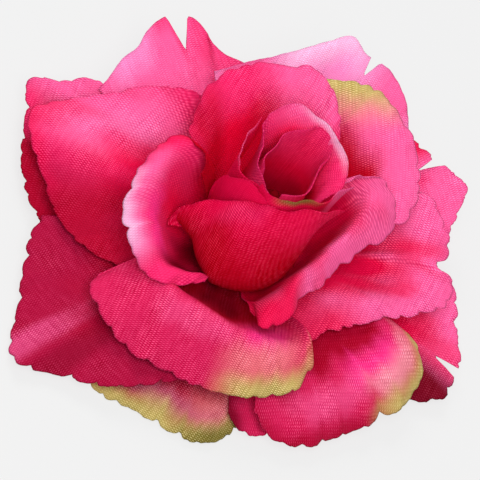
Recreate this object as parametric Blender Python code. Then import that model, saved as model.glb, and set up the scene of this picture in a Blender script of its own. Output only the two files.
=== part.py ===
"""Cloth rose head: die-cut petals of woven polyester threaded on a moulded peg.

The flower stands on the flat underside of its base cap. The flower's axis is +Z and its
front, the side with the long pointed petal, faces -Y.
"""

from math import radians

import bmesh
import bpy
import numpy as np

MM = 0.001

# Driving dimensions, in millimetres.
CLOTH_THICKNESS = 0.35
SEAT_RADIUS = 3.6
PEG_GAP = 0.3
PEG_RADIUS = SEAT_RADIUS - CLOTH_THICKNESS / 2 - PEG_GAP
PEG_TOP = 15.4
PEG_BEVEL = 0.5
CAP_RADIUS = 9.0
CAP_HEIGHT = 1.9
CAP_BEVEL = 0.5
CAP_SLOPE = 1.5
SOCKET_FLOOR = 0.8
SOCKET_GAP = 0.3
# The bud core's outline: radius and height above its flat bottom.
CORE_BOTTOM = 15.7
CORE_OUTLINE = ((2.2, 0.0), (3.0, 1.5), (3.2, 3.5), (2.6, 6.0), (1.5, 8.3), (0.6, 9.3))

# Mesh resolution of one petal: stations across its width and along its length.
STATIONS_ACROSS = 12
STATIONS_ALONG = 8
PROFILE_STEPS = 48
NOTCH_CLEARANCE = 0.03

# Dye colours of the cloth and of the moulded pieces, linear RGB.
DEEP_ROSE = (0.55, 0.012, 0.06)
ROSE = (0.80, 0.045, 0.16)
LIGHT_ROSE = (0.93, 0.10, 0.27)
PALE_ROSE = (0.95, 0.36, 0.55)
LEAF_TINT = (0.50, 0.30, 0.11)
CAP_GREEN = (0.045, 0.16, 0.05)
MILKY = (0.75, 0.74, 0.70)
CLOTH_ROUGHNESS = 0.75
PLASTIC_ROUGHNESS = 0.45

# Each petal: its dye, the height of its claw on the peg, the angle at which the claw leaves the
# peg (degrees), how far that angle and the lean at the rim carry into the petal (fractions of
# its length), and the points of its outline. Several numbers in place of one are values spread
# evenly from the petal's first edge to its last. An outline point is a heading around the
# flower (degrees from +X), a reach from the axis (mm), a height (mm) and the lean of the cloth
# there (degrees above level, past 90 where it leans back inwards). A notch is a heading, a
# depth and half a width (mm).
PETALS = {
    "petal_outer_left": dict(
        dye=LIGHT_ROSE, seat=2.4, rise=10, belly=0.35, lip=0.35,
        outline=((169, 39, 9.5, 0), (170, 43, 9.5, 0), (176, 48, 8, -5), (180, 53, 6, -15),
                 (188, 49.5, 5.5, -15), (200, 46.5, 4.5, -15), (209, 43.5, 3.5, -15),
                 (217, 40, 3, -10))),
    "petal_outer_back_left": dict(
        dye=PALE_ROSE, seat=3.0, rise=15, belly=0.35, lip=0.35,
        outline=((124, 34.5, 16, 20), (134, 38.5, 15.5, 15), (139, 47.2, 14.5, 15),
                 (145.5, 48.2, 14, 15), (151, 46.4, 13.5, 12), (156, 43.8, 12.8, 10),
                 (161.5, 43.2, 12, 8), (166.5, 41.8, 11, 5), (172.5, 41, 10, 0)),
        notches=((142.5, 8, 2.2),)),
    "petal_outer_back_right": dict(
        dye=LIGHT_ROSE, seat=3.0, rise=12, belly=0.35, lip=0.35,
        outline=((31, 40.5, 11, 0), (39, 43.5, 12, 0), (46, 47, 13, 5), (52, 50, 14, 5),
                 (58, 47, 14.5, 5), (61, 45, 15, 0), (68, 42.5, 16, 0)),
        notches=((59.5, 6, 0.8),)),
    "petal_outer_right": dict(
        dye=LIGHT_ROSE, seat=2.4, rise=6, belly=0.35, lip=0.35,
        outline=((-9, 43.5, 3, -25), (-5.5, 46.8, 2.6, -25), (-3.5, 48.8, 2.5, -25),
                 (1, 51.8, 2.6, -25), (4.5, 52.2, 3, -20), (8, 51.8, 3.8, -15),
                 (10, 51.6, 5, -10), (14, 49, 6, -5), (21, 47.5, 7.5, 0), (29, 44.5, 9, 0),
                 (31, 40, 10, 0)),
        notches=((7.8, 7, 0.9),)),
    "petal_outer_front": dict(
        dye=LEAF_TINT, seat=2.4, rise=3, belly=0.35, lip=0.35,
        outline=((-101, 44.5, 2, -10), (-95, 45, 1, -15), (-86, 43.5, 1, -15),
                 (-79, 43.5, 1, -15), (-68, 44, 1, -15), (-61, 42, 1.2, -10),
                 (-57, 39, 1.6, -10))),
    "petal_outer_tuck": dict(
        dye=ROSE, seat=3.3, rise=4, belly=0.35, lip=0.35,
        outline=((-61, 37.5, 3.2, -10), (-57, 40.3, 2.6, -10), (-54, 41.0, 2.4, -10),
                 (-49, 40.6, 2.4, -10), (-45, 38.5, 2.8, -10))),
    "petal_outer_front_left": dict(
        dye=DEEP_ROSE, seat=3.6, rise=12, belly=0.35, lip=0.35,
        outline=((-145, 41, 5.5, -10), (-139, 43.5, 4.5, -10), (-133, 45, 3.5, -15),
                 (-123, 48.5, 2, -15), (-112, 54.5, 1, -15), (-104, 49, 2, -20),
                 (-96, 45.5, 4, -15), (-87, 40.5, 6, -10), (-78, 36, 7.5, -10))),
    "petal_outer_front_right": dict(
        dye=LIGHT_ROSE, seat=4.2, rise=8, belly=0.5, lip=0.35,
        outline=((-54, 38, 6, -20), (-51, 41, 4.5, -25), (-48, 42.5, 3.8, -35),
                 (-42, 44, 3.2, -45), (-29, 44.5, 3.5, -50), (-18, 45, 4.5, -50),
                 (-8, 46.5, 6, -50), (-2, 45.5, 8, -45), (2, 41.5, 10, -35),
                 (3, 35.5, 11.5, -20))),
    "petal_outer_back": dict(
        dye=PALE_ROSE, seat=4.2, rise=25, belly=0.35, lip=0.35,
        outline=((68, 40.5, 18, 15), (77, 44, 20, 20), (85, 46, 21, 20), (93, 45, 22, 20),
                 (98, 47, 22, 20), (104, 43, 21, 20), (114, 38, 19, 20), (125, 35, 17.5, 20),
                 (139, 32.5, 17, 20)),
        notches=((90, 4.5, 1),)),
    "petal_middle_left": dict(
        dye=ROSE, seat=5.4, rise=14, belly=0.4, lip=0.35,
        outline=((156, 23, 24, 30), (159, 27.5, 22, 20), (167, 32.5, 19.5, 5),
                 (179, 39, 15.5, -15), (190, 49, 9.5, -30), (198, 46, 9, -35), (206, 42, 8, -30),
                 (215, 39, 7.5, -20), (226, 34.5, 7.5, -10), (236, 28.5, 8, 0))),
    "petal_middle_right": dict(
        dye=LIGHT_ROSE, seat=5.4, rise=(8, 4), belly=(0.4, 0.5), lip=0.35,
        outline=((-32, 26, 9, 5), (-16, 27, 11, 0), (-2, 31.5, 13.5, -15), (10, 38.5, 13, -20),
                 (17, 43, 13.5, -20), (23, 42, 15, -15), (25, 38.5, 16.5, -10),
                 (28.5, 40.8, 17, -10), (37, 39, 19, -5), (45, 37, 20.5, 0),
                 (48, 32.5, 21.5, 5))),
    "petal_middle_front": dict(
        dye=ROSE, seat=6.2, rise=0, belly=(0.88, 0.88, 0.88, 0.85, 0.7),
        lip=(0.85, 0.85, 0.85, 0.7, 0.4),
        outline=((-122, 34, 9.5, -15), (-119, 36.5, 9, -20), (-109, 37.5, 8.5, -32),
                 (-97, 38, 8, -40), (-84, 37, 8.5, -45), (-72, 36.5, 8.5, -50), (-58, 36, 9, -50),
                 (-46, 35.5, 10, -50), (-39, 33.5, 12, -52), (-36, 30, 14, -50))),
    "petal_middle_back": dict(
        dye=ROSE, seat=6.8, rise=(6, 12), belly=(0.65, 0.55), lip=0.4,
        outline=((27, 26, 24.5, -30), (37, 29.5, 24.5, -30), (49, 32.5, 24.5, -25),
                 (60, 34.5, 25, -20), (72, 35.5, 26, -10), (82, 35, 27, 0), (90, 32.5, 27.5, 5),
                 (102, 28.5, 28, 15))),
    "petal_inner_left": dict(
        dye=LIGHT_ROSE, seat=7.4, rise=(40, 8, -4, -7), belly=(0.4, 0.5, 0.7, 0.9), lip=0.4,
        outline=((-151, 14.8, 26, 65), (-166, 17, 28, 30), (-170, 21, 27, -10),
                 (-162, 25, 25.5, -35), (-151, 27, 24, -50), (-143, 28.5, 22, -50),
                 (-136, 29.5, 19, -50), (-125, 29, 17, -45), (-113, 28.5, 15, -40),
                 (-104, 26, 15, -35), (-98, 22.5, 14.6, -20), (-92, 19.2, 14.2, 15))),
    "petal_inner_right": dict(
        dye=LIGHT_ROSE, seat=8.0, rise=(-7, -5, 0, 10), belly=(0.9, 0.82, 0.67, 0.47),
        lip=(0.45, 0.8, 0.8, 0.5),
        outline=((-62, 20.1, 14, 20), (-57.2, 26, 18, -10), (-46.2, 23.6, 18, -35),
                 (-39.2, 20.6, 19, -50), (-21.4, 19, 18.5, -55), (-6.7, 18.9, 19.5, -55),
                 (9, 20.2, 21, -55), (19.9, 23.2, 22.5, -50), (26.5, 25.2, 25.5, -45),
                 (35.5, 24, 28, -35), (43, 19.3, 32, 0), (28, 10.5, 34, 50))),
    "petal_inner_back": dict(
        dye=ROSE, seat=9.2, rise=25, belly=0.5, lip=0.35,
        outline=((45, 11.5, 33, 60), (73, 13, 35, 50), (90, 17, 36, 30), (101, 21, 36.5, 15),
                 (112, 23, 36, 5), (126, 23.5, 34.5, 0), (137, 25, 32, 0), (148, 25.5, 30, 10),
                 (157, 25, 28, 20), (166, 23, 24.5, 25), (174, 21, 21, 30))),
    "petal_inner_front": dict(
        dye=ROSE, seat=10.5, rise=(18, 10, 4, -14, -14, 3),
        belly=(0.6, 0.95, 0.85, 1.0, 0.67, 0.33), lip=0.6,
        outline=((-131.5, 19.2, 15.1, 10), (-137, 17.8, 18.2, 75), (-134, 14, 23.5, 118),
                 (-121, 12, 28, 108), (-109, 10.5, 31, 105), (-90, 9.5, 33, 105),
                 (-68, 9.8, 34.5, 105), (-45, 10.2, 37, 100), (-29, 11.2, 38, 90),
                 (-15, 13, 37.5, 75))),
    "petal_bud_collar": dict(
        dye=ROSE, seat=11.4, rise=0, belly=0.4, lip=0.4,
        outline=((-149, 12.2, 24.8, 90), (-147, 11.4, 28.5, 95), (-134, 10.5, 32, 100),
                 (-123, 9.7, 33.5, 100), (-103, 9, 34, 100), (-84, 8.9, 33, 100))),
    "petal_bud_lip": dict(
        dye=LEAF_TINT, seat=12.2, rise=0, belly=0.36, lip=0.4,
        outline=((-112, 8.3, 34.5, 100), (-90, 8, 35, 100), (-69, 8, 36, 100),
                 (-47, 8.2, 37.5, 95), (-33, 9.3, 38, 90), (-18, 10, 39, 85), (7, 11, 39.5, 75))),
    "petal_bud_side": dict(
        dye=ROSE, seat=12.9, rise=0, belly=0.33, lip=0.4,
        outline=((164, 11.5, 37.5, 70), (174, 11.2, 36.5, 72), (184, 11.1, 35.3, 76),
                 (196, 11, 34, 80), (204, 10.7, 33, 85), (213, 9.9, 32.5, 90),
                 (225, 9.1, 32.5, 95), (241, 8, 33, 95), (249, 7.6, 33, 95))),
    "petal_bud_wrap": dict(
        dye=LIGHT_ROSE, seat=13.7, rise=0, belly=0.28, lip=0.4,
        outline=((-45, 7.2, 33.5, 85), (-22, 8.3, 35, 65), (0, 9.3, 36.8, 45), (22, 9.5, 38, 38),
                 (40, 8.8, 39.6, 45), (60, 8.3, 40.2, 60), (78, 8.4, 40.5, 62),
                 (104, 8.9, 40.7, 50), (125, 10.5, 40.8, 40), (142, 10.8, 40.4, 38),
                 (156, 10.2, 39.5, 50), (166, 9.2, 38.8, 65), (187, 7.5, 37, 80),
                 (215, 6.9, 35, 90), (250, 6.6, 32.5, 95))),
    "petal_bud_heart": dict(
        dye=DEEP_ROSE, seat=14.5, rise=0, belly=0.2, lip=0.4,
        outline=((-77, 5.4, 32.6, 95), (-49, 5.2, 33.2, 95), (-27, 5.3, 34, 90), (0, 4.7, 35, 90),
                 (30, 4.8, 36.5, 85), (51, 6.2, 38, 75), (73, 7.5, 39.6, 60), (96, 7.5, 40, 60),
                 (110, 6.9, 39.8, 65), (127, 6.1, 39, 75), (155, 5.6, 37.5, 85),
                 (184, 5.8, 36, 90), (209, 6.1, 34.5, 92), (230, 6, 32, 95),
                 (266, 5.9, 31.8, 95))),
}


def clear_scene():
    """Remove whatever the file opened with."""
    for item in list(bpy.data.objects):
        bpy.data.objects.remove(item, do_unlink=True)


def plain_material(name, colour, roughness):
    """A Principled material of one colour."""
    material = bpy.data.materials.new(name)
    material.use_nodes = True
    shader = material.node_tree.nodes["Principled BSDF"]
    shader.inputs["Base Color"].default_value = (*colour, 1.0)
    shader.inputs["Roughness"].default_value = roughness
    shader.inputs["Metallic"].default_value = 0.0
    material.diffuse_color = (*colour, 1.0)
    return material


def add_object(name, mesh_source, material):
    """Turn a bmesh into a named, smooth-shaded object of the scene."""
    mesh = bpy.data.meshes.new(name)
    mesh_source.to_mesh(mesh)
    mesh_source.free()
    mesh.materials.append(material)
    mesh.shade_smooth()
    item = bpy.data.objects.new(name, mesh)
    bpy.context.scene.collection.objects.link(item)
    return item


def smooth_curve(knots, points, where):
    """Points at `where` along a smooth curve through `points`, which lie at `knots`."""
    steps = np.diff(knots)
    secants = np.diff(points, axis=0) / steps[:, None]
    inner = (secants[:-1] * steps[1:, None] + secants[1:] * steps[:-1, None])
    inner /= (steps[:-1] + steps[1:])[:, None]
    slopes = np.vstack([secants[:1], inner, secants[-1:]])
    span = np.clip(np.searchsorted(knots, where, side="right") - 1, 0, len(steps) - 1)
    width = steps[span][:, None]
    u = (where - knots[span])[:, None] / width
    start = (1 + 2 * u) * (1 - u) ** 2 * points[span] + u * (1 - u) ** 2 * width * slopes[span]
    end = u * u * (3 - 2 * u) * points[span + 1] + u * u * (u - 1) * width * slopes[span + 1]
    return start + end


def outline_curve(outline, across):
    """Heading (radians), reach, height and lean (radians) of the rim at each station."""
    table = np.array(outline, dtype=float)
    heading = np.radians(table[:, 0])
    place = np.column_stack([table[:, 1] * np.cos(heading), table[:, 1] * np.sin(heading),
                             table[:, 2]])
    chords = np.linalg.norm(np.diff(place, axis=0), axis=1) ** 0.75
    knots = np.concatenate([[0.0], np.cumsum(chords)])
    knots /= knots[-1]
    rim = smooth_curve(knots, np.column_stack([place, table[:, 3]]), across)
    turned = np.unwrap(np.arctan2(rim[:, 1], rim[:, 0]))
    return turned, np.hypot(rim[:, 0], rim[:, 1]), rim[:, 2], np.radians(rim[:, 3])


def from_first_to_last(value, across):
    """One value, or values spread evenly from the first edge to the last, at each station."""
    values = np.atleast_1d(value)
    return np.interp(across, np.linspace(0.0, 1.0, len(values)), values)


def claw_to_rim_profiles(petal, across):
    """One Bezier profile a station, in the half-plane of its heading, as reach and height."""
    heading, reach, height, lean = outline_curve(petal["outline"], across)
    rise = np.radians(from_first_to_last(petal["rise"], across))
    chord = np.hypot(reach - SEAT_RADIUS, height - petal["seat"])
    belly = from_first_to_last(petal["belly"], across) * chord
    lip = from_first_to_last(petal["lip"], across) * chord
    claw = np.column_stack([np.full_like(reach, SEAT_RADIUS), np.full_like(reach, petal["seat"])])
    rim = np.column_stack([reach, height])
    after_claw = claw + belly[:, None] * np.column_stack([np.cos(rise), np.sin(rise)])
    before_rim = rim - lip[:, None] * np.column_stack([np.cos(lean), np.sin(lean)])
    t = np.linspace(0.0, 1.0, PROFILE_STEPS + 1)[None, :, None]
    curve = ((1 - t) ** 3 * claw[:, None] + 3 * t * (1 - t) ** 2 * after_claw[:, None]
             + 3 * t * t * (1 - t) * before_rim[:, None] + t ** 3 * rim[:, None])
    return heading, curve


def notch_depth(petal, heading, reach):
    """How much cloth the notches take off the rim at each heading, in millimetres."""
    cut = np.zeros_like(heading)
    for middle, depth, half_width in petal.get("notches", ()):
        away = np.abs(heading - radians(middle)) * reach
        cut = np.maximum(cut, depth * np.clip(1 - away / half_width, 0, 1))
    return cut


def stations_across(petal):
    """Stations from the first edge to the last, with one at each end and the foot of a notch."""
    stations = np.linspace(0.0, 1.0, STATIONS_ACROSS)
    dense = np.linspace(0.0, 1.0, 721)
    heading, reach, _, _ = outline_curve(petal["outline"], dense)
    for middle, _, half_width in petal.get("notches", ()):
        away = np.abs(heading - radians(middle)) * reach
        foot = np.argmin(away)
        marks = dense[[foot - np.argmax(away[foot::-1] > half_width), foot,
                       foot + np.argmax(away[foot:] > half_width)]]
        clear = np.min(np.abs(stations[:, None] - marks[None, :]), axis=1) > NOTCH_CLEARANCE
        clear[[0, -1]] = True
        stations = np.sort(np.concatenate([stations[clear], marks]))
    return stations


def petal_surface(petal, across, along):
    """Points of the middle of the cloth, in metres, indexed by station across and along."""
    heading, curve = claw_to_rim_profiles(petal, across)
    walked = np.zeros(curve.shape[:2])
    walked[:, 1:] = np.cumsum(np.linalg.norm(np.diff(curve, axis=1), axis=2), axis=1)
    reach = curve[:, -1, 0]
    length = walked[:, -1] - notch_depth(petal, heading, reach)
    surface = np.empty((len(across), len(along), 3))
    for row, turn in enumerate(heading):
        place = along * length[row]
        out = np.interp(place, walked[row], curve[row, :, 0])
        surface[row, :, 0] = out * np.cos(turn)
        surface[row, :, 1] = out * np.sin(turn)
        surface[row, :, 2] = np.interp(place, walked[row], curve[row, :, 1])
    return surface * MM


def add_petal(name, petal):
    """A flat grid of cloth bent to its place in the flower and given its thickness."""
    across = stations_across(petal)
    along = np.linspace(0.0, 1.0, STATIONS_ALONG)
    surface = petal_surface(petal, across, along)
    cloth = bmesh.new()
    bmesh.ops.create_grid(cloth, x_segments=len(across) - 1, y_segments=len(along) - 1, size=0.5)
    for vert in cloth.verts:
        row = round((vert.co.x + 0.5) * (len(across) - 1))
        column = round((vert.co.y + 0.5) * (len(along) - 1))
        vert.co = surface[row, column]
    material = plain_material(name + "_cloth", petal["dye"], CLOTH_ROUGHNESS)
    item = add_object(name, cloth, material)
    thicken = item.modifiers.new("Cloth thickness", 'SOLIDIFY')
    thicken.thickness = CLOTH_THICKNESS * MM
    thicken.offset = 0.0
    return item


def turned_piece(name, profile, material, segments=24):
    """A solid turned about the flower's axis from (radius, height) points, bottom to top."""
    body = bmesh.new()
    rings = []
    for radius, height in profile:
        ring = bmesh.ops.create_circle(body, segments=segments, radius=radius * MM)["verts"]
        bmesh.ops.translate(body, verts=ring, vec=(0.0, 0.0, height * MM))
        rings.append(ring)
    body.edges.ensure_lookup_table()
    for low, high in zip(rings, rings[1:]):
        edges = [e for e in body.edges if all(v in low for v in e.verts)]
        edges += [e for e in body.edges if all(v in high for v in e.verts)]
        bmesh.ops.bridge_loops(body, edges=edges)
    body.faces.new(list(reversed(rings[0])))
    body.faces.new(rings[-1])
    bmesh.ops.recalc_face_normals(body, faces=body.faces)
    item = add_object(name, body, material)
    item.data.set_sharp_from_angle(angle=radians(40))
    return item


def add_base_cap():
    """The flat cap under the flower, with the socket that holds the peg's foot."""
    inner = PEG_RADIUS + SOCKET_GAP
    profile = ((CAP_RADIUS - CAP_BEVEL, 0.0), (CAP_RADIUS, CAP_BEVEL),
               (CAP_RADIUS - CAP_SLOPE, CAP_HEIGHT), (inner, CAP_HEIGHT), (inner, SOCKET_FLOOR))
    turned_piece("base_cap", profile, plain_material("cap_plastic", CAP_GREEN, PLASTIC_ROUGHNESS))


def add_centre_peg():
    """The peg that the claws of the petals are threaded on."""
    profile = ((PEG_RADIUS, SOCKET_FLOOR + SOCKET_GAP), (PEG_RADIUS, PEG_TOP - PEG_BEVEL),
               (PEG_RADIUS - PEG_BEVEL, PEG_TOP))
    turned_piece("centre_peg", profile, plain_material("peg_plastic", MILKY, PLASTIC_ROUGHNESS))


def add_bud_core():
    """The teardrop that the innermost petal is rolled around."""
    profile = [(radius, CORE_BOTTOM + rise) for radius, rise in CORE_OUTLINE]
    turned_piece("bud_core", profile, plain_material("core_plastic", DEEP_ROSE, PLASTIC_ROUGHNESS))


def main():
    """Build every piece of the flower."""
    clear_scene()
    add_base_cap()
    add_centre_peg()
    add_bud_core()
    for name, petal in PETALS.items():
        add_petal(name, petal)


main()
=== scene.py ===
"""Cloth rose head: the finished look of its petals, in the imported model's own frame."""

from typing import NamedTuple

import bmesh
import bpy
import numpy as np
from bpy.props import FloatProperty, FloatVectorProperty, PointerProperty
from mathutils import Matrix, Vector


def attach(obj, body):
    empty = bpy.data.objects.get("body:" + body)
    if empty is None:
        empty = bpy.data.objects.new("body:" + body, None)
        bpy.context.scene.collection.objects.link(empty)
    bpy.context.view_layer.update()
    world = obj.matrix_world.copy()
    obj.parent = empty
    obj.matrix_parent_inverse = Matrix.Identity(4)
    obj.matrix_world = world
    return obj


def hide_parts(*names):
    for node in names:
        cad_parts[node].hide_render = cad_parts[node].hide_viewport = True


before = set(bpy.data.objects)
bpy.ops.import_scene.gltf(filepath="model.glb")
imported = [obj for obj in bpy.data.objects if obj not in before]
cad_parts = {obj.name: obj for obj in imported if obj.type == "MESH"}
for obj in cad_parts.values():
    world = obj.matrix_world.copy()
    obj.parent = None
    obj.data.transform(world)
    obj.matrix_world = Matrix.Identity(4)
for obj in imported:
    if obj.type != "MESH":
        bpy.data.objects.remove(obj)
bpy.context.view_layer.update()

bl_info = {
    "name": "Cloth Rose Head",
    "version": (1, 0, 0),
    "blender": (4, 5, 0),
    "location": "3D View > Sidebar > Rose",
    "description": "Makes the cloth petals of a rose head, their dyes and a plain studio",
    "category": "Add Mesh",
}

MM = 0.001

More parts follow.
